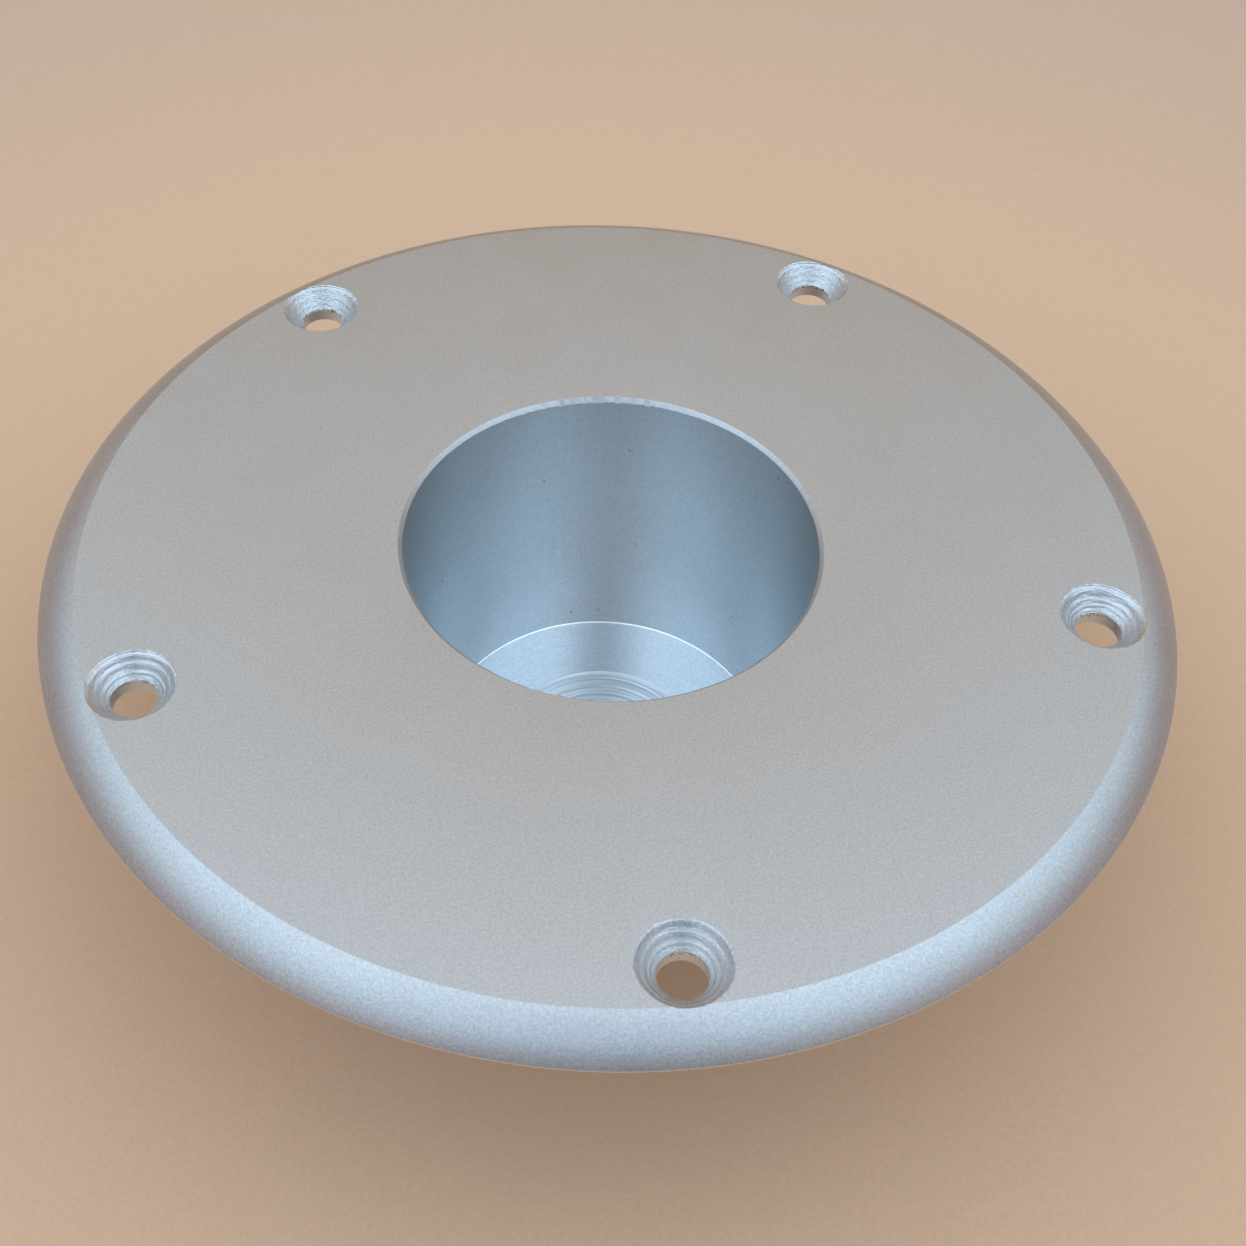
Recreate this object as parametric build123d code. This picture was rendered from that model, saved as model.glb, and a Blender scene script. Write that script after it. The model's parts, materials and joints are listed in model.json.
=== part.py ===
from build123d import *
import os
from math import sqrt

# Tube mounting base: a round screw-down flange with a deep tapered socket that takes the end of
# a 60 mm tube. It is one piece of aluminium.
# Millimetres, +Z out of the socket's mouth. The origin is on the socket's axis, in the plane of
# the flange's underside, which seats on the deck that the cup is let into.

# Flange
flange_diameter = 165.0
flange_thickness = 5.0
face_diameter = 153.5  # flat face, out to the crease where the rim falls away
rim_radius = 13.0  # rounding of the rim, seen in section
edge_chamfer = 0.6  # broken edge between the rim and the underside

# Socket, its depth measured from the flange's face
socket_mouth_diameter = 61.1  # below the chamfer
socket_floor_diameter = 55.0
socket_depth = 49.5
mouth_chamfer = 0.6
floor_corner_chamfer = 0.4
recess_diameter = 32.0  # shallow turned recess in the socket's floor
recess_depth = 0.15

# Cup round the socket, below the flange
cup_wall = 4.5
cup_floor = 5.5
root_radius = 3.0  # fillet between the cup and the flange's underside
foot_chamfer = 1.5  # on the cup's lower edge

# Countersunk screw holes
screw_count = 5
screw_circle_diameter = 142.0
first_screw_angle = -90.0
screw_hole_diameter = 6.5
sink_diameter = 12.2  # at the flange's face
sink_depth = 3.0
sink_bands = (0.36, 0.30, 0.34)  # shares of the sink's slope, from its rim down
sink_ledge = 0.12  # flat ledge that the cutter left between two bands
cut_overrun = 1.0  # how far a cutting form runs out past a face

# Levels and radii that follow from the sizes above
face_level = flange_thickness
floor_level = face_level - socket_depth
foot_level = floor_level - cup_floor
flange_radius = flange_diameter / 2
face_radius = face_diameter / 2
mouth_radius = socket_mouth_diameter / 2
floor_radius = socket_floor_diameter / 2
wall_top = face_level - mouth_chamfer
taper = (mouth_radius - floor_radius) / (wall_top - floor_level)  # radius lost for each mm down


def cup_radius(level):
    """Outer radius of the cup, which keeps its wall parallel to the tapered socket."""
    socket_radius = floor_radius + taper * (level - floor_level)
    return socket_radius + cup_wall * sqrt(1 + taper ** 2)


def corner(section, x, y):
    """The section's corner nearest to the point x, y."""
    return section.vertices().sort_by_distance((x, y, 0))[0]


def turned_body():
    """Flange and cup as one revolved section, with the socket open at the top."""
    recess_radius = recess_diameter / 2
    recess_level = floor_level - recess_depth
    crease = (face_radius, face_level)
    rim_foot = (flange_radius, edge_chamfer)
    with BuildPart() as body:
        with BuildSketch(Plane.XZ) as section:
            with BuildLine():
                Polyline(
                    (0, recess_level),
                    (recess_radius, recess_level),
                    (recess_radius, floor_level),
                    (floor_radius, floor_level),
                    (mouth_radius, wall_top),
                    (mouth_radius + mouth_chamfer, face_level),
                    crease,
                )
                RadiusArc(crease, rim_foot, rim_radius)
                Polyline(
                    rim_foot,
                    (flange_radius - edge_chamfer, 0),
                    (cup_radius(0), 0),
                    (cup_radius(foot_level), foot_level),
                    (0, foot_level),
                    (0, recess_level),
                )
            make_face()
            fillet(corner(section, cup_radius(0), 0), root_radius)
            chamfer(corner(section, floor_radius, floor_level), floor_corner_chamfer)
            chamfer(corner(section, cup_radius(foot_level), foot_level), foot_chamfer)
        revolve(axis=Axis.Z)
    return body.part


def screw_cut():
    """Form of one screw hole: a countersink in bands with narrow ledges, then a plain hole."""
    hole_radius = screw_hole_diameter / 2
    sink_radius = sink_diameter / 2
    ledges = len(sink_bands) - 1
    slope_run = sink_radius - hole_radius - ledges * sink_ledge
    run_per_mm = slope_run / sink_depth
    outline = [(sink_radius + cut_overrun * run_per_mm, face_level + cut_overrun)]
    radius = sink_radius
    level = face_level
    for place, share in enumerate(sink_bands):
        radius -= slope_run * share
        level -= sink_depth * share
        outline.append((radius, level))
        if place < ledges:
            radius -= sink_ledge
            outline.append((radius, level))
    outline += [(hole_radius, -cut_overrun), (0, -cut_overrun), (0, face_level + cut_overrun)]
    with BuildPart() as cut:
        with BuildSketch(Plane.XZ):
            with BuildLine():
                Polyline(*outline, close=True)
            make_face()
        revolve(axis=Axis.Z)
    return cut.part


def socket_base():
    """The whole base: the turned body with its circle of countersunk screw holes."""
    screw_places = PolarLocations(screw_circle_diameter / 2, screw_count, first_screw_angle)
    with BuildPart() as base:
        add(turned_body())
        with screw_places:
            add(screw_cut(), mode=Mode.SUBTRACT)
    return base.part


os.makedirs("parts", exist_ok=True)
export_step(socket_base(), "parts/socket_base.step")
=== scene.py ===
import json
import math
from typing import NamedTuple

import bmesh
import bpy
from mathutils import Matrix, Vector, noise


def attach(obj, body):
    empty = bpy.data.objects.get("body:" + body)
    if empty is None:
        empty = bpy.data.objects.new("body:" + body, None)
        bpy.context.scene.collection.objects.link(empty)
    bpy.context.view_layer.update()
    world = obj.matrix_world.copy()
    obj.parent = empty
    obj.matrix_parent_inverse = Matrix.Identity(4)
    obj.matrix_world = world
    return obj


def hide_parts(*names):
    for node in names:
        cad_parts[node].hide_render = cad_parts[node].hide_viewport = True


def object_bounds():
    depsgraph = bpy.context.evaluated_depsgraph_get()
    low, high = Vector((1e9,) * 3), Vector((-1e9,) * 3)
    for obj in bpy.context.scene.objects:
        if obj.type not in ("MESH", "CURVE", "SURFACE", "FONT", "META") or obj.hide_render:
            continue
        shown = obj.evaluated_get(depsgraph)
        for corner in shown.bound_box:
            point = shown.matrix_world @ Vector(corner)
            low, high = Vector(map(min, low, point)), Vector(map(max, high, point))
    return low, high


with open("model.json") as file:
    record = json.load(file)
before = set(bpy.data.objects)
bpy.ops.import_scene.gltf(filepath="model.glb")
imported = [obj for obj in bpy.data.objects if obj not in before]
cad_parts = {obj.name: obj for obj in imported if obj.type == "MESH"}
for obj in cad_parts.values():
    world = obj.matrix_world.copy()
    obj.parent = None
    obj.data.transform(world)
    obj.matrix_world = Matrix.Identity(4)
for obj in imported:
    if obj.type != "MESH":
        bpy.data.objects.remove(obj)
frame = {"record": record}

# The looks of a one-piece aluminium tube mounting base. Metres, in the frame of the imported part:
# origin on the socket's axis in the plane of the flange's underside, +Z out of the mouth.
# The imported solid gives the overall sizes. The mesh here is the same form, turned finer, with the
# marks that the tools left.

MM = 0.001
NODE = "socket_base"
cad_low, cad_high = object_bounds()
mounts = {mount["name"]: mount for mount in frame["record"]["mounts"]}

# Sizes read from the frame
flange_radius = cad_high.x
face_level = cad_high.z
foot_level = cad_low.z
screw_dims = mounts["screw_circle"]["dims"]
screw_circle_radius = screw_dims["pcd_mm"] / 2 * MM
screw_count = screw_dims["count"]
hole_radius = screw_dims["hole_r_mm"] * MM

# Section of the turned body, as in the part
face_radius = 76.75 * MM
rim_radius = 13.0 * MM
edge_chamfer = 0.6 * MM
mouth_radius = 30.55 * MM
mouth_chamfer = 0.6 * MM
socket_floor_radius = 27.5 * MM
floor_level = face_level - 49.5 * MM
recess_radius = 16.0 * MM
recess_depth = 0.15 * MM
cup_wall = 4.5 * MM
root_radius = 3.0 * MM
foot_chamfer = 1.5 * MM

# Countersinks, as in the part
sink_radius = 6.1 * MM
sink_depth = 3.0 * MM
first_screw_angle = math.radians(-90)

# Roundings of the turned edges
floor_corner = 0.3 * MM  # where the socket's wall meets its floor
edge_break = 0.05 * MM  # at both edges of the mouth's chamfer
rim_break = 0.25 * MM  # the rim's widest edge, which catches the light of the paper

# Marks of turning
recess_slope = 0.5 * MM  # width of the slope round the floor's recess
ridge_pitch = 0.6 * MM  # ridges in that recess
ridge_height = 0.08 * MM
ridge_fade = 3.0 * MM  # they reach their full height this far inside its edge
ridge_change = 1.3  # how much their noise moves on from one to the next
chamfer_burr = 0.5 * MM  # raggedness of the mouth chamfer's lower edge
burr_stretches = 1.5  # how fast the torn stretches of that edge come and go
burr_more = 0.1  # how much of it is torn, beyond half
burr_teeth = 55  # how fine its teeth are

# Marks round the screw holes
burr_edge = 0.04 * MM  # half the width of the bright burr round each countersink
burr_undercut = 0.08 * MM  # how far it hangs over
burr_drop = 0.16 * MM  # height of the step below it
chatter_depth = 0.18 * MM  # the edge wavers, as the cutter chattered
chatter_width = 0.4 * MM  # width of one wave
chatter_fade = 0.35 * MM  # depth at which the waves have mostly gone
mark_pitch = 0.12 * MM  # rings of tool marks down a countersink's slope
mark_depth = 0.07 * MM
mark_change = 0.7  # how much their noise moves on from one to the next
last_band_swing = 0.5  # the last band's share of its countersink's swing
hole_burr = 0.5 * MM  # raggedness where the countersink meets the drilled hole
hole_teeth = 14  # how fine that is


class Sink(NamedTuple):
    """How one countersink came out."""

    bands: tuple  # how the slope is shared out between the flatter rings that the cutter left
    swing: float  # how much the steepness changes down a band
    wear: float  # how rough the slope is
    breaks: float  # how often the rings of marks break off
    burr: float  # size of the burr round the edge
    torn: float  # how ragged the edge of the drilled hole is


# The countersinks, in the order of the screws from the nearest one on
plain_bands = (0.36, 0.32, 0.19, 0.13)
sinks = (
    Sink(plain_bands, swing=0.22, wear=0.3, breaks=2, burr=0.3, torn=0.0),
    Sink((0.14, 0.35, 0.20, 0.17, 0.14), swing=0.38, wear=1.1, breaks=3, burr=1.1, torn=0.5),
    Sink(plain_bands, swing=0.15, wear=1.1, breaks=9, burr=1.5, torn=0.6),
    Sink(plain_bands, swing=0.12, wear=1.2, breaks=9, burr=1.2, torn=1.8),
    Sink((0.12, 0.25, 0.33, 0.17, 0.13), swing=0.4, wear=0.9, breaks=3, burr=1.2, torn=0.5),
)

# Fineness of the meshes
TURNED_STEPS = 480  # round the base
SINK_STEPS = 184  # round a screw hole
RIM_STEP = math.radians(4)  # along the rim's arc
CORNER_STEP = math.radians(11)  # along a small rounding, kept below the sharp angle
SHARP_ANGLE = math.radians(12)  # edges that turn further are shaded as edges
TOLERANCE = 0.001 * MM  # radii this close are the same


# Section outlines, as lists of (radius, level)

def arc(centre, radius, start, end, step):
    """Points of an arc in a section, its angles in radians."""
    count = max(2, math.ceil(abs(end - start) / step))
    turns = [start + (end - start) * i / count for i in range(count + 1)]
    return [(centre[0] + radius * math.cos(t), centre[1] + radius * math.sin(t)) for t in turns]


def arc_between(start, end, radius):
    """Points of the arc of that radius from start to end, bulging to the left of the way there."""
    half = Vector((end[0] - start[0], end[1] - start[1])) / 2
    middle = Vector(start) + half
    inward = Vector((half.y, -half.x)).normalized()
    centre = middle + inward * math.sqrt(radius ** 2 - half.length_squared)
    first = math.atan2(start[1] - centre.y, start[0] - centre.x)
    last = math.atan2(end[1] - centre.y, end[0] - centre.x)
    return arc(centre, radius, first, last, RIM_STEP)


def corner(before, point, after, radius):
    """Points of the arc that rounds the corner at point, between its two neighbours."""
    middle = Vector(point)
    back = (Vector(before) - middle).normalized()
    on = (Vector(after) - middle).normalized()
    half_angle = back.angle(on) / 2
    reach = radius / math.tan(half_angle)
    centre = middle + (back + on).normalized() * radius / math.sin(half_angle)
    first = middle + back * reach - centre
    last = middle + on * reach - centre
    start = math.atan2(first.y, first.x)
    turn = math.atan2(first.cross(last), first.dot(last))
    return arc(centre, radius, start, start + turn, CORNER_STEP)


def cup_radius(level):
    """Outer radius of the cup, whose wall is parallel to the tapered socket."""
    taper = (mouth_radius - socket_floor_radius) / (face_level - mouth_chamfer - floor_level)
    socket_radius = socket_floor_radius + taper * (level - floor_level)
    return socket_radius + cup_wall * math.sqrt(1 + taper ** 2)


def ridges(end, level):
    """Turning ridges from the axis to a radius, as a line of crests and grooves."""
    count = round(end / ridge_pitch)
    points = []
    for i in range(2 * count):
        points.append((end * i / (2 * count), level + ridge_height * (i % 2)))
    return points + [(end, level)]


def body_stretches():
    """The section from the middle of the socket's floor round to the foot: (finish, points)."""
    recess_level = floor_level - recess_depth
    recess_foot = recess_radius - recess_slope
    recess_edge = (recess_radius, floor_level)
    floor_edge = (socket_floor_radius, floor_level)
    wall_top = (mouth_radius, face_level - mouth_chamfer)
    mouth_edge = (mouth_radius + mouth_chamfer, face_level)
    crease = (face_radius, face_level)
    rim_foot = (flange_radius, edge_chamfer)
    seat_edge = (flange_radius - edge_chamfer, 0)
    root = (cup_radius(0), 0)
    foot_edge = (cup_radius(foot_level), foot_level)
    axis_foot = (0, foot_level)
    floor_round = corner(recess_edge, floor_edge, wall_top, floor_corner)
    wall_round = corner(floor_edge, wall_top, mouth_edge, edge_break)
    mouth_round = corner(wall_top, mouth_edge, crease, edge_break)
    rim = arc_between(crease, rim_foot, rim_radius)
    rim_round = corner(rim[-2], rim_foot, seat_edge, rim_break)
    nose = corner(rim_foot, seat_edge, root, edge_chamfer)
    root_round = corner(seat_edge, root, foot_edge, root_radius)
    foot_round = corner(root, foot_edge, axis_foot, foot_chamfer)
    return [
        ("recess", ridges(recess_foot, recess_level) + [recess_edge]),
        ("floor", [recess_edge] + floor_round[:1]),
        ("corner", floor_round),
        ("wall", floor_round[-1:] + wall_round[:1]),
        ("chamfer", wall_round + mouth_round),
        ("face", [mouth_round[-1], crease]),
        ("rim", rim[:-1] + rim_round[:1]),
        ("nose", rim_round + nose),
        ("under", nose[-1:] + root_round),
        ("cup", root_round[-1:] + foot_round + [axis_foot]),
    ]


def sink_slope(sink):
    """A countersink's slope, flattest where a band ends and steepest halfway down it.

    The last band steepens all the way, gently, into the drilled hole.
    """
    run = sink_radius - hole_radius
    length = math.hypot(run, sink_depth)
    points = []
    start = 0
    for place, share in enumerate(sink.bands, start=1):
        last = place == len(sink.bands)
        wave = math.pi if last else math.tau
        swing = sink.swing * (last_band_swing if last else 1)
        count = round(share * length / mark_pitch)
        for i in range(1, count + 1):
            way = i / count
            drop = way - swing * math.sin(wave * way) / wave
            radius = sink_radius - run * (start + share * way)
            points.append((radius, face_level - sink_depth * (start + share * drop)))
        start += share
    return points[:-1] + [(hole_radius, face_level - sink_depth)]


def sink_stretches(sink):
    """Section of one screw hole's cutter, from the axis above the face down to below the seat."""
    over = 1.0 * MM
    edge = burr_edge * sink.burr
    outside = sink_radius + edge
    inside = sink_radius - edge
    top_level = face_level + over
    tip_level = face_level - 2 * edge
    step_level = tip_level - burr_drop * sink.burr
    lip = [(0, top_level), (outside, top_level), (outside, face_level), (inside, tip_level)]
    undercut = (inside + burr_undercut * sink.burr, (tip_level + step_level) / 2)
    slope = [lip[-1], undercut, (inside, step_level)]
    slope += [point for point in sink_slope(sink) if point[1] < step_level]
    drill = [slope[-1], (hole_radius, -over), (0, -over)]
    return [("burr", lip), ("sink", slope), ("drill", drill)]


# Shapes: each takes a point of a section and its angle, and returns the radius and level there

def lathe_marks(radius, level, angle):
    """Breaks up the ridges of the recess, and tears the mouth chamfer's lower edge."""
    around = Vector((math.cos(angle), math.sin(angle), 0))
    if radius < recess_radius - recess_slope / 2 and foot_level < level < floor_level:
        groove_level = floor_level - recess_depth
        fade = min(1, (recess_radius - radius) / ridge_fade)
        where = Vector((around.x, around.y, radius / ridge_pitch * ridge_change))
        return radius, groove_level + (level - groove_level) * fade * (1 + noise.noise(where))
    if abs(radius - mouth_radius) < edge_break and level > face_level - 2 * mouth_chamfer:
        torn = max(0, noise.noise(around * burr_stretches) + burr_more)
        teeth = 0.5 + noise.noise(around * burr_teeth)
        return radius, level - chamfer_burr * torn * teeth
    return radius, level


def sink_marks(sink, number):
    """A shape for a countersink's cutter: a wavering edge, rough rings and a torn edge at the hole.

    The screw's number sets its noise apart from that of the others.
    """
    edge_noise = number * 3.7
    ring_noise = number * 9

    def shape(radius, level, angle):
        around = Vector((math.cos(angle), math.sin(angle), edge_noise))
        if radius > hole_radius + TOLERANCE:
            fade = math.exp(-max(0, face_level - level) / chatter_fade)
            chatter = chatter_depth * noise.noise(around * sink_radius / chatter_width)
            down = level / mark_pitch * mark_change + ring_noise
            where = Vector((around.x * sink.breaks, around.y * sink.breaks, down))
            ring = sink.wear * mark_depth * noise.noise(where)
            return radius + chatter * fade + ring * (1 - fade), level
        torn = hole_burr * sink.torn if level > 0 else 0
        return radius, level + torn * noise.noise(around * hole_teeth)

    return shape


# Meshes

def lathe(name, stretches, steps, shape):
    """A closed mesh of revolution from a section that starts and ends on the axis.

    Each stretch's faces get its finish, and shape may change each point.
    """
    mesh = bmesh.new()

    def ring(radius, level):
        if radius < TOLERANCE:
            return [mesh.verts.new((0, 0, level))]
        made = []
        for i in range(steps):
            angle = math.tau * i / steps
            r, z = shape(radius, level, angle)
            made.append(mesh.verts.new((r * math.cos(angle), r * math.sin(angle), z)))
        return made

    def strip(low, high, finish):
        for i in range(steps):
            j = (i + 1) % steps
            if len(low) == 1:
                corners = (low[0], high[j], high[i])
            elif len(high) == 1:
                corners = (low[i], low[j], high[0])
            else:
                corners = (low[i], low[j], high[j], high[i])
            mesh.faces.new(corners).material_index = FINISHES.index(finish)

    first_points = stretches[0][1]
    last = ring(*first_points[0])
    for finish, points in stretches:
        for radius, level in points[1:]:
            new = ring(radius, level)
            strip(last, new, finish)
            last = new
    bmesh.ops.recalc_face_normals(mesh, faces=mesh.faces)
    data = bpy.data.meshes.new(name)
    mesh.to_mesh(data)
    mesh.free()
    for finish in FINISHES:
        data.materials.append(materials[finish])
    piece = bpy.data.objects.new(name, data)
    bpy.context.scene.collection.objects.link(piece)
    return piece


def screw_places():
    """The centres of the screw holes."""
    for i in range(screw_count):
        angle = first_screw_angle + math.tau * i / screw_count
        yield Vector((math.cos(angle), math.sin(angle), 0)) * screw_circle_radius


def cut(piece, cutter):
    """Takes the cutter's form out of the piece."""
    modifier = piece.modifiers.new("cut", "BOOLEAN")
    modifier.operation = "DIFFERENCE"
    modifier.solver = "EXACT"
    modifier.object = cutter
    graph = bpy.context.evaluated_depsgraph_get()
    data = bpy.data.meshes.new_from_object(piece.evaluated_get(graph))
    piece.modifiers.clear()
    piece.data = data


def smooth_within(mesh, finish):
    """Shades the faces of one finish smoothly across the edges between them."""
    index = FINISHES.index(finish)
    others = {key for face in mesh.polygons if face.material_index != index for key in face.edge_keys}
    for edge in mesh.edges:
        if edge.key not in others:
            edge.use_edge_sharp = False


def make_base():
    """The whole base as one mesh."""
    base = lathe("base", body_stretches(), TURNED_STEPS, lathe_marks)
    for number, place in enumerate(screw_places()):
        sink = sinks[number]
        cutter = lathe("cutter", sink_stretches(sink), SINK_STEPS, sink_marks(sink, number))
        cutter.location = place
        bpy.context.view_layer.update()
        cut(base, cutter)
        bpy.data.objects.remove(cutter)
    for polygon in base.data.polygons:
        polygon.use_smooth = True
    base.data.set_sharp_from_angle(angle=SHARP_ANGLE)
    for finish in ("sink", "recess"):
        smooth_within(base.data, finish)
    return base


# Materials

blasted_metal = (0.557, 0.55, 0.555)
turned_metal = (0.745, 0.78, 0.80)
floor_metal = (0.54, 0.57, 0.605)
sunk_metal = (0.60, 0.595, 0.605)
paper_tan = (0.70, 0.44, 0.285)
# the paper's colour far out, darkened by painted shade
paper_in_painted_shade = (0.56, 0.38, 0.28)
paper_as_seen = (0.53, 0.42, 0.335)

turning_pitch = 0.3 * MM  # faint lines round the turned metal
metal_grain = 0.4 * MM  # size of its grain
NOISE_SPAN = (0.25, 0.75)  # where most of a noise's values lie
QUARTER_TURN = 0.25


def shade(colour, factor):
    """The colour made brighter or darker."""
    return tuple(part * factor for part in colour)


class Nodes:
    """A node tree under way, with short calls that add nodes."""

    def __init__(self, tree):
        self.tree = tree

    def add(self, kind, inputs=(), **settings):
        """Adds a node. inputs maps a socket's name or number to a value or to another socket."""
        made = self.tree.nodes.new(kind)
        for name, value in settings.items():
            setattr(made, name, value)
        for name, value in dict(inputs).items():
            if isinstance(value, bpy.types.NodeSocket):
                self.tree.links.new(value, made.inputs[name])
            else:
                made.inputs[name].default_value = value
        return made

    def math(self, operation, *values):
        """The result of one operation on values or sockets."""
        return self.add("ShaderNodeMath", enumerate(values), operation=operation).outputs[0]

    def spread(self, value, start, end, low, high, way="LINEAR"):
        """The value mapped from start..end to low..high."""
        inputs = {"Value": value, "From Min": start, "From Max": end, "To Min": low, "To Max": high}
        return self.add("ShaderNodeMapRange", inputs, interpolation_type=way).outputs["Result"]

    def mix(self, share, first, second):
        """Goes from the first colour to the second by share."""
        mixed = self.add("ShaderNodeMix", {"Factor": share}, data_type="RGBA")
        for name, colour in (("A", first), ("B", second)):
            if isinstance(colour, bpy.types.NodeSocket):
                self.tree.links.new(colour, mixed.inputs[name])
            else:
                mixed.inputs[name].default_value = (*colour, 1)
        return mixed.outputs["Result"]


class Finish(Nodes):
    """A material under way."""

    def __init__(self, name, colour, roughness, metallic=1.0):
        self.material = bpy.data.materials.new(name)
        self.material.use_nodes = True
        super().__init__(self.material.node_tree)
        self.shader = self.tree.nodes["Principled BSDF"]
        self.base = colour
        self.shader.inputs["Base Color"].default_value = (*colour, 1)
        self.shader.inputs["Metallic"].default_value = metallic
        self.shader.inputs["Roughness"].default_value = roughness

    def give(self, name, value):
        """Links a value to one of the shader's inputs."""
        self.tree.links.new(value, self.shader.inputs[name])

    def place(self):
        """The point in metres."""
        return self.add("ShaderNodeTexCoord").outputs["Object"]

    def level(self):
        """The point's height in metres."""
        return self.add("ShaderNodeSeparateXYZ", {0: self.place()}).outputs["Z"]

    def noise(self, where, size=1.0, detail=2.0, rough=0.5):
        """Noise from 0 to 1 whose features are about size wide."""
        inputs = {"Vector": where, "Scale": 1 / size, "Detail": detail, "Roughness": rough}
        return self.add("ShaderNodeTexNoise", inputs).outputs["Fac"]

    def round_the_axis(self, pitch, length):
        """A point whose noise runs in lines round the socket's axis, pitch apart and length long."""
        place = self.place()
        x, y, z = self.add("ShaderNodeSeparateXYZ", {0: place}).outputs
        flat = self.add("ShaderNodeCombineXYZ", {0: x, 1: y}).outputs[0]
        radius = self.add("ShaderNodeVectorMath", {0: flat}, operation="LENGTH").outputs["Value"]
        across = self.math("DIVIDE", self.math("ADD", radius, z), pitch)
        parts = {0: self.math("DIVIDE", x, length), 1: self.math("DIVIDE", y, length), 2: across}
        return self.add("ShaderNodeCombineXYZ", parts).outputs[0]

    def blend_of(self, first, second, share):
        """A value that holds share of the second value, and the rest of the first."""
        rest = self.math("MULTIPLY", first, 1 - share)
        return self.math("ADD", rest, self.math("MULTIPLY", second, share))

    def turned(self, share):
        """Gives the one-way gloss of turning, blurred across the tool's marks."""
        tangent = self.add("ShaderNodeTangent", direction_type="RADIAL", axis="Z").outputs[0]
        self.give("Tangent", tangent)
        self.shader.inputs["Anisotropic"].default_value = share
        self.shader.inputs["Anisotropic Rotation"].default_value = QUARTER_TURN

    def mottle(self, value, amount):
        """Varies the colour by plus or minus amount over the usual span of a noise."""
        share = self.spread(value, *NOISE_SPAN, 0, 1)
        dark, pale = shade(self.base, 1 - amount), shade(self.base, 1 + amount)
        self.give("Base Color", self.mix(share, dark, pale))

    def bump(self, height, depth):
        """Gives the surface relief depth metres deep where height goes from 0 to 1."""
        inputs = {"Height": height, "Distance": depth, "Strength": 1.0}
        self.give("Normal", self.add("ShaderNodeBump", inputs).outputs[0])


def blasted(name, roughness, tone, depth):
    """Fine blasted satin. Its grain varies in colour by tone and is about depth deep."""
    cloudiness = 0.02
    finish = Finish(name, blasted_metal, roughness)
    grain = finish.noise(finish.place(), size=0.36 * MM, detail=3, rough=0.7)
    cloud = finish.noise(finish.place(), size=9 * MM)
    finish.mottle(grain, tone)
    smoother, rougher = roughness - cloudiness, roughness + cloudiness
    finish.give("Roughness", finish.spread(cloud, *NOISE_SPAN, smoother, rougher))
    finish.bump(grain, depth)
    return finish.material


def turned_wall():
    """Smooth turned wall with fine grain, faint lines round it and a few dark pits; painted light
    brightens it lower down.
    """
    pit_spacing = 5.5 * MM
    pit_middle, pit_edge = 0.02, 0.05  # as shares of the spacing
    relief_span = (0.3, 0.7)
    at_floor, at_mouth = 1.11, 0.94  # how bright the painted light and shade make the wall there
    dark = shade(turned_metal, 0.93)
    pale = shade(turned_metal, 1.12)
    pit_colour = shade(turned_metal, 0.4)
    finish = Finish("turned_wall", turned_metal, roughness=0.34)
    finish.turned(share=0.6)
    lines = finish.noise(finish.round_the_axis(turning_pitch, length=5 * MM), detail=3)
    grain = finish.noise(finish.place(), metal_grain)
    relief = finish.blend_of(lines, grain, share=0.8)
    cells = {"Vector": finish.place(), "Scale": 1 / pit_spacing}
    pit = finish.add("ShaderNodeTexVoronoi", cells).outputs["Distance"]
    clear = finish.spread(pit, pit_middle, pit_edge, 0, 1)
    tone = finish.mix(finish.spread(relief, *relief_span, 0, 1), dark, pale)
    # painted light and shade: the colour is scaled brighter near the floor and darker near the mouth
    painted_light_by_level = finish.spread(finish.level(), floor_level, face_level, at_floor, at_mouth)
    tone = finish.add("ShaderNodeVectorMath", {0: tone, "Scale": painted_light_by_level}, operation="SCALE").outputs[0]
    finish.give("Base Color", finish.mix(clear, pit_colour, tone))
    finish.bump(relief, depth=0.012 * MM)
    return finish.material


def turned_outside():
    """The outside of the cup, turned to a clean gloss."""
    finish = Finish("turned_outside", turned_metal, roughness=0.28)
    finish.turned(share=0.3)
    lines = finish.noise(finish.round_the_axis(turning_pitch, length=6 * MM), detail=3)
    finish.mottle(lines, amount=0.12)
    finish.bump(lines, depth=0.012 * MM)
    return finish.material


def turned_floor():
    """Turned floor, glossier than the wall, with faint lines round it."""
    finish = Finish("turned_floor", floor_metal, roughness=0.24)
    finish.turned(share=0.8)
    lines = finish.noise(finish.round_the_axis(turning_pitch, length=8 * MM), detail=3)
    grain = finish.noise(finish.place(), metal_grain)
    relief = finish.blend_of(lines, grain, share=0.7)
    finish.mottle(relief, amount=0.18)
    finish.bump(relief, depth=0.015 * MM)
    return finish.material


def turned_recess():
    """The middle of the floor, which the tool left rougher."""
    finish = Finish("turned_recess", floor_metal, roughness=0.34)
    finish.turned(share=0.8)
    lines = finish.noise(finish.round_the_axis(pitch=0.35 * MM, length=16 * MM))
    finish.mottle(lines, amount=0.35)
    finish.bump(lines, depth=0.06 * MM)
    return finish.material


def cut_corner():
    """The small rounding at the socket's floor, which catches the light."""
    return Finish("cut_corner", shade(turned_metal, 1.1), roughness=0.2).material


def cut_chamfer():
    """The chamfer at the socket's mouth."""
    finish = Finish("cut_chamfer", shade(blasted_metal, 1.1), roughness=0.5)
    finish.mottle(finish.noise(finish.place(), size=0.6 * MM, detail=3), amount=0.08)
    return finish.material


def cut_edge(name):
    """A bright cut edge, smoother than the blasted face beside it."""
    finish = Finish(name, turned_metal, roughness=0.35)
    finish.mottle(finish.noise(finish.place(), metal_grain), amount=0.08)
    return finish.material


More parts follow.
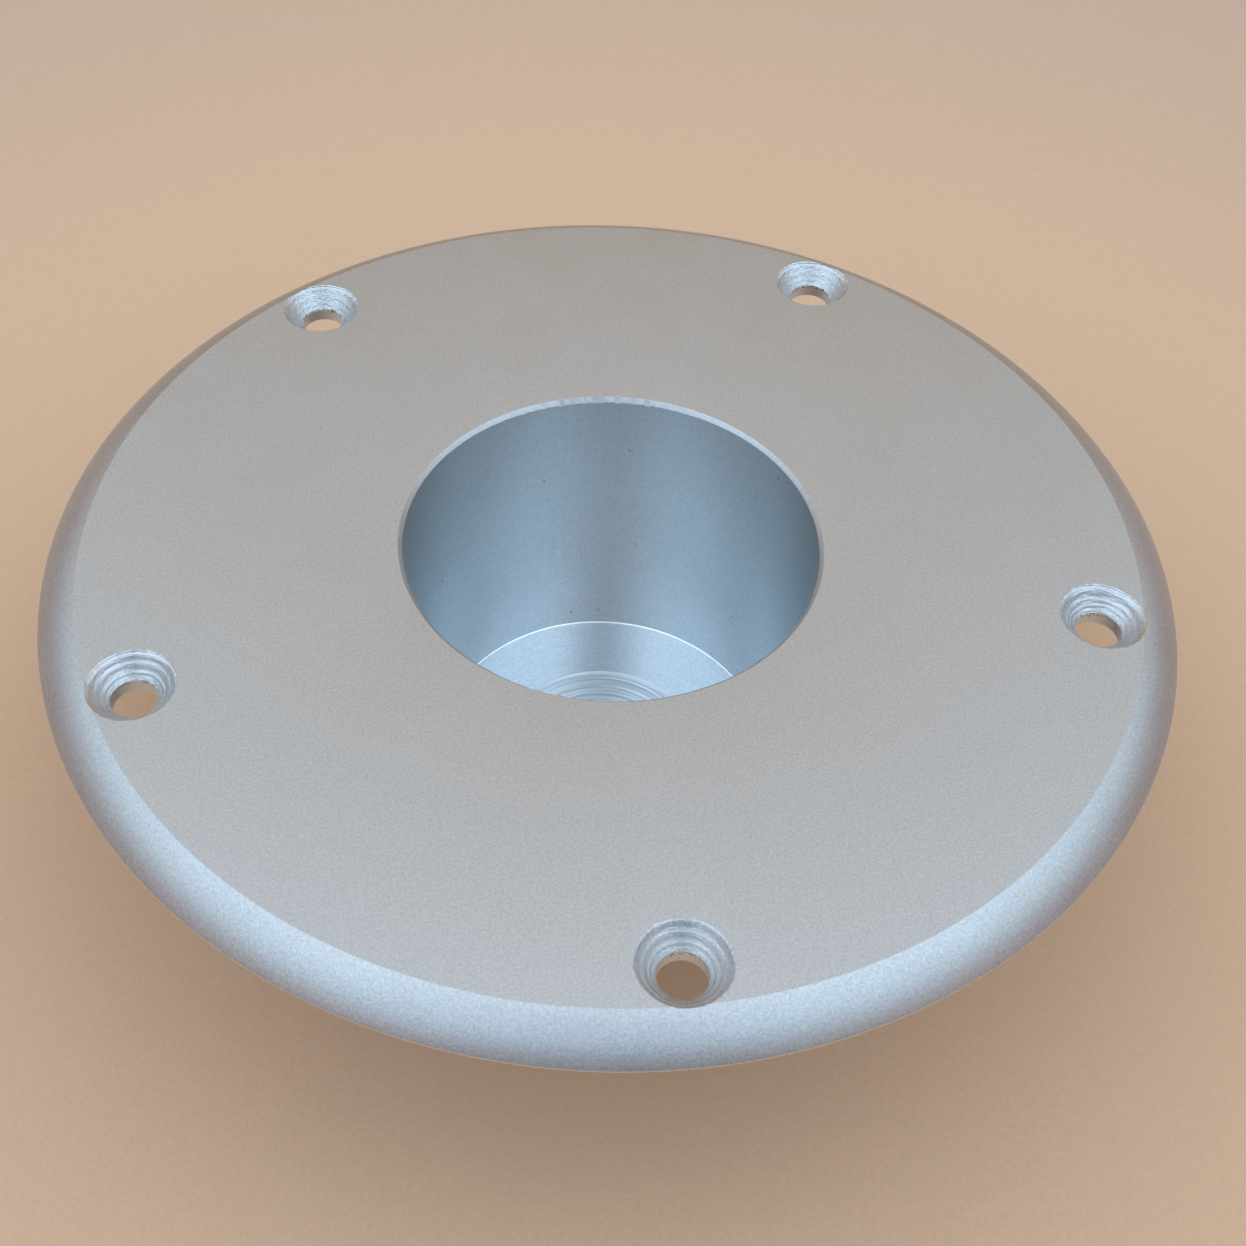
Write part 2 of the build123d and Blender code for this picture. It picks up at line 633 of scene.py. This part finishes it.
def countersunk():
    """Rough countersink with streaks of tool marks round it."""
    streak_length = 1.5 * MM
    streak_height = 0.16 * MM
    finish = Finish("countersunk", sunk_metal, roughness=0.42)
    place = finish.add("ShaderNodeSeparateXYZ", {0: finish.place()}).outputs
    sizes = (streak_length, streak_length, streak_height)
    parts = [finish.math("DIVIDE", part, size) for part, size in zip(place, sizes)]
    where = finish.add("ShaderNodeCombineXYZ", enumerate(parts)).outputs[0]
    streaks = finish.noise(where, detail=3, rough=0.6)
    grain = finish.noise(finish.place(), size=0.3 * MM)
    relief = finish.blend_of(streaks, grain, share=0.6)
    finish.mottle(relief, amount=0.22)
    finish.bump(relief, depth=0.08 * MM)
    return finish.material


def drilled():
    """The drilled wall of a screw hole, with painted shade in dark patches where the metal tore near its
    upper edge.
    """
    torn_shade_bottom, torn_shade_top = 1.1 * MM, 2.0 * MM  # levels between which the tearing and its painted shade grow
    torn_shade_more = 0.15
    sound, torn_shade_through = 0.65, 0.74  # values of the grain
    finish = Finish("drilled", turned_metal, roughness=0.50)
    level = finish.level()
    grain = finish.noise(finish.place(), metal_grain, detail=3)
    torn = finish.math("ADD", grain, finish.spread(level, torn_shade_bottom, torn_shade_top, 0, torn_shade_more))
    clear = finish.spread(torn, sound, torn_shade_through, 1, 0)
    tone = finish.mix(grain, shade(turned_metal, 0.9), turned_metal)
    # painted shade: a dark copy of the metal's colour in the torn patches
    finish.give("Base Color", finish.mix(clear, shade(turned_metal, 0.25), tone))
    return finish.material


# Stage

def make_floor():
    """The plain tan paper that the base stands on, with painted shade making it darker and greyer further
    out.
    """
    reach = 4.0
    near, far = 0.18, 0.36  # distances between which painted shade darkens it
    grain_tone = 0.045
    mesh = bpy.data.meshes.new("floor")
    corners = [(x * reach, y * reach, foot_level) for x, y in ((-1, -1), (1, -1), (1, 1), (-1, 1))]
    mesh.from_pydata(corners, [], [(0, 1, 2, 3)])
    floor = bpy.data.objects.new("floor", mesh)
    bpy.context.scene.collection.objects.link(floor)
    finish = Finish("floor_paper", paper_tan, roughness=0.9, metallic=0.0)
    finish.shader.inputs["Specular IOR Level"].default_value = 0.1
    grain = finish.noise(finish.place(), size=0.6 * MM, detail=3)
    paleness = finish.spread(grain, *NOISE_SPAN, 0, 1)
    distance = finish.add("ShaderNodeVectorMath", {0: finish.place()}, operation="LENGTH")
    # painted shade: the paper turns to its darker far colour between these distances
    painted_falloff = finish.spread(distance.outputs["Value"], near, far, 0, 1)
    dark = finish.mix(painted_falloff, shade(paper_tan, 1 - grain_tone), shade(paper_in_painted_shade, 1 - grain_tone))
    pale = finish.mix(painted_falloff, shade(paper_tan, 1 + grain_tone), shade(paper_in_painted_shade, 1 + grain_tone))
    finish.give("Base Color", finish.mix(paleness, dark, pale))
    mesh.materials.append(finish.material)


# Camera, as the photograph was taken: the values come from fitting the part's circles

IMAGE = 1246  # width and height in pixels
FOCAL_PIXELS = 1752.8
CENTRE_PIXEL = (598.5, 537.8)
CAMERA_DISTANCE = 256.67 * MM  # from the middle of the flange's face
CAMERA_AZIMUTH = math.radians(-8.93)  # from straight in front of the base
CAMERA_ELEVATION = math.radians(45.384)
CAMERA_YAW = -0.0073  # in radians, like the next two
CAMERA_PITCH = 0.0012
CAMERA_ROLL = -0.04733


def make_camera():
    """The photograph's camera. But for three small turns it looks at the middle of the face."""
    data = bpy.data.cameras.new("camera")
    camera = bpy.data.objects.new("camera", data)
    bpy.context.scene.collection.objects.link(camera)
    bpy.context.scene.camera = camera
    data.sensor_width = 36.0
    data.lens = FOCAL_PIXELS / IMAGE * data.sensor_width
    data.shift_x = (IMAGE / 2 - CENTRE_PIXEL[0]) / IMAGE
    data.shift_y = (CENTRE_PIXEL[1] - IMAGE / 2) / IMAGE
    data.clip_start = 0.01
    data.clip_end = 20.0
    back = Vector((0, -math.cos(CAMERA_ELEVATION), math.sin(CAMERA_ELEVATION)))
    right = Vector((1, 0, 0))
    aimed = Matrix((right, back.cross(right), back))
    roll = Matrix.Rotation(CAMERA_ROLL, 3, "Z")
    pitch = Matrix.Rotation(CAMERA_PITCH, 3, "X")
    yaw = Matrix.Rotation(CAMERA_YAW, 3, "Y")
    around = Matrix.Rotation(CAMERA_AZIMUTH, 3, "Z")
    axes = around @ (roll @ pitch @ yaw @ aimed).transposed()
    place = around @ back * CAMERA_DISTANCE + Vector((0, 0, face_level))
    camera.matrix_world = Matrix.Translation(place) @ axes.to_4x4()


# The studio's soft light by elevation in degrees: a dim room that brightens to pale blue panels,
# a little dimmer overhead

LIGHT_LEVEL = 2.5
room_light = (
    (5, (0.065, 0.01, 0.01)),
    (20, (0.28, 0.275, 0.275)),
    (35, (0.39, 0.54, 0.645)),
    (50, (0.455, 0.61, 0.755)),
    (65, (0.575, 0.70, 0.83)),
    (84, (0.52, 0.615, 0.68)),
)

# Places that are dimmer or warmer: azimuth and elevation in degrees, how far from there the place
# reaches and how far it has its full colour, also in degrees, and that colour
camera_side = math.degrees(CAMERA_AZIMUTH) - 90
room_behind = (camera_side + 180, 22, 70, 10, (0.195, 0.113, 0.028))
operator_head = (camera_side + 3, 62, 19, 4, (0.04, 0.045, 0.065))
operator_body = (camera_side + 5, 16, 39, 4, (0.05, 0.045, 0.055))
room_places = (room_behind, operator_head, operator_body)


def direction(azimuth, elevation):
    """The unit vector that points that way, from angles in degrees."""
    a, e = math.radians(azimuth), math.radians(elevation)
    return (math.cos(e) * math.cos(a), math.cos(e) * math.sin(a), math.sin(e))


def make_world():
    """The light from all round, and the backdrop's colour for the camera."""
    world = bpy.data.worlds.new("studio")
    bpy.context.scene.world = world
    world.use_nodes = True
    nodes = Nodes(world.node_tree)
    way = nodes.add("ShaderNodeTexCoord").outputs["Generated"]
    height = nodes.add("ShaderNodeSeparateXYZ", {0: way}).outputs["Z"]
    ramp = nodes.add("ShaderNodeValToRGB", {"Fac": height})
    stops = ramp.color_ramp.elements
    while len(stops) < len(room_light):
        stops.new(0.5)  # its place is set below
    for stop, (elevation, colour) in zip(stops, room_light):
        stop.position = math.sin(math.radians(elevation))
        stop.color = (*colour, 1)
    light = ramp.outputs["Color"]
    for azimuth, elevation, outer, inner, colour in room_places:
        inputs = {0: way, 1: direction(azimuth, elevation)}
        towards = nodes.add("ShaderNodeVectorMath", inputs, operation="DOT_PRODUCT").outputs["Value"]
        angle = nodes.math("ARCCOSINE", towards)
        share = nodes.spread(angle, math.radians(inner), math.radians(outer), 1, 0, "SMOOTHSTEP")
        light = nodes.mix(share, light, colour)
    seen = nodes.add("ShaderNodeLightPath").outputs["Is Camera Ray"]
    colour = nodes.mix(seen, light, shade(paper_as_seen, 1 / LIGHT_LEVEL))
    background = nodes.tree.nodes["Background"]
    background.inputs["Strength"].default_value = LIGHT_LEVEL
    nodes.tree.links.new(colour, background.inputs["Color"])


# The finishes by their names in the sections
materials = {
    "recess": turned_recess(),
    "floor": turned_floor(),
    "corner": cut_corner(),
    "wall": turned_wall(),
    "chamfer": cut_chamfer(),
    "face": blasted("blasted_face", roughness=0.50, tone=0.16, depth=0.015 * MM),
    "rim": blasted("blasted_rim", roughness=0.45, tone=0.20, depth=0.025 * MM),
    "nose": cut_edge("seat_edge"),
    "under": blasted("blasted_underside", roughness=0.50, tone=0.20, depth=0.015 * MM),
    "cup": turned_outside(),
    "burr": cut_edge("burr"),
    "sink": countersunk(),
    "drill": drilled(),
}
FINISHES = list(materials)
base = make_base()
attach(base, "root")
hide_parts(NODE)
make_floor()
make_world()
make_camera()
bpy.context.scene.view_settings.view_transform = "Standard"
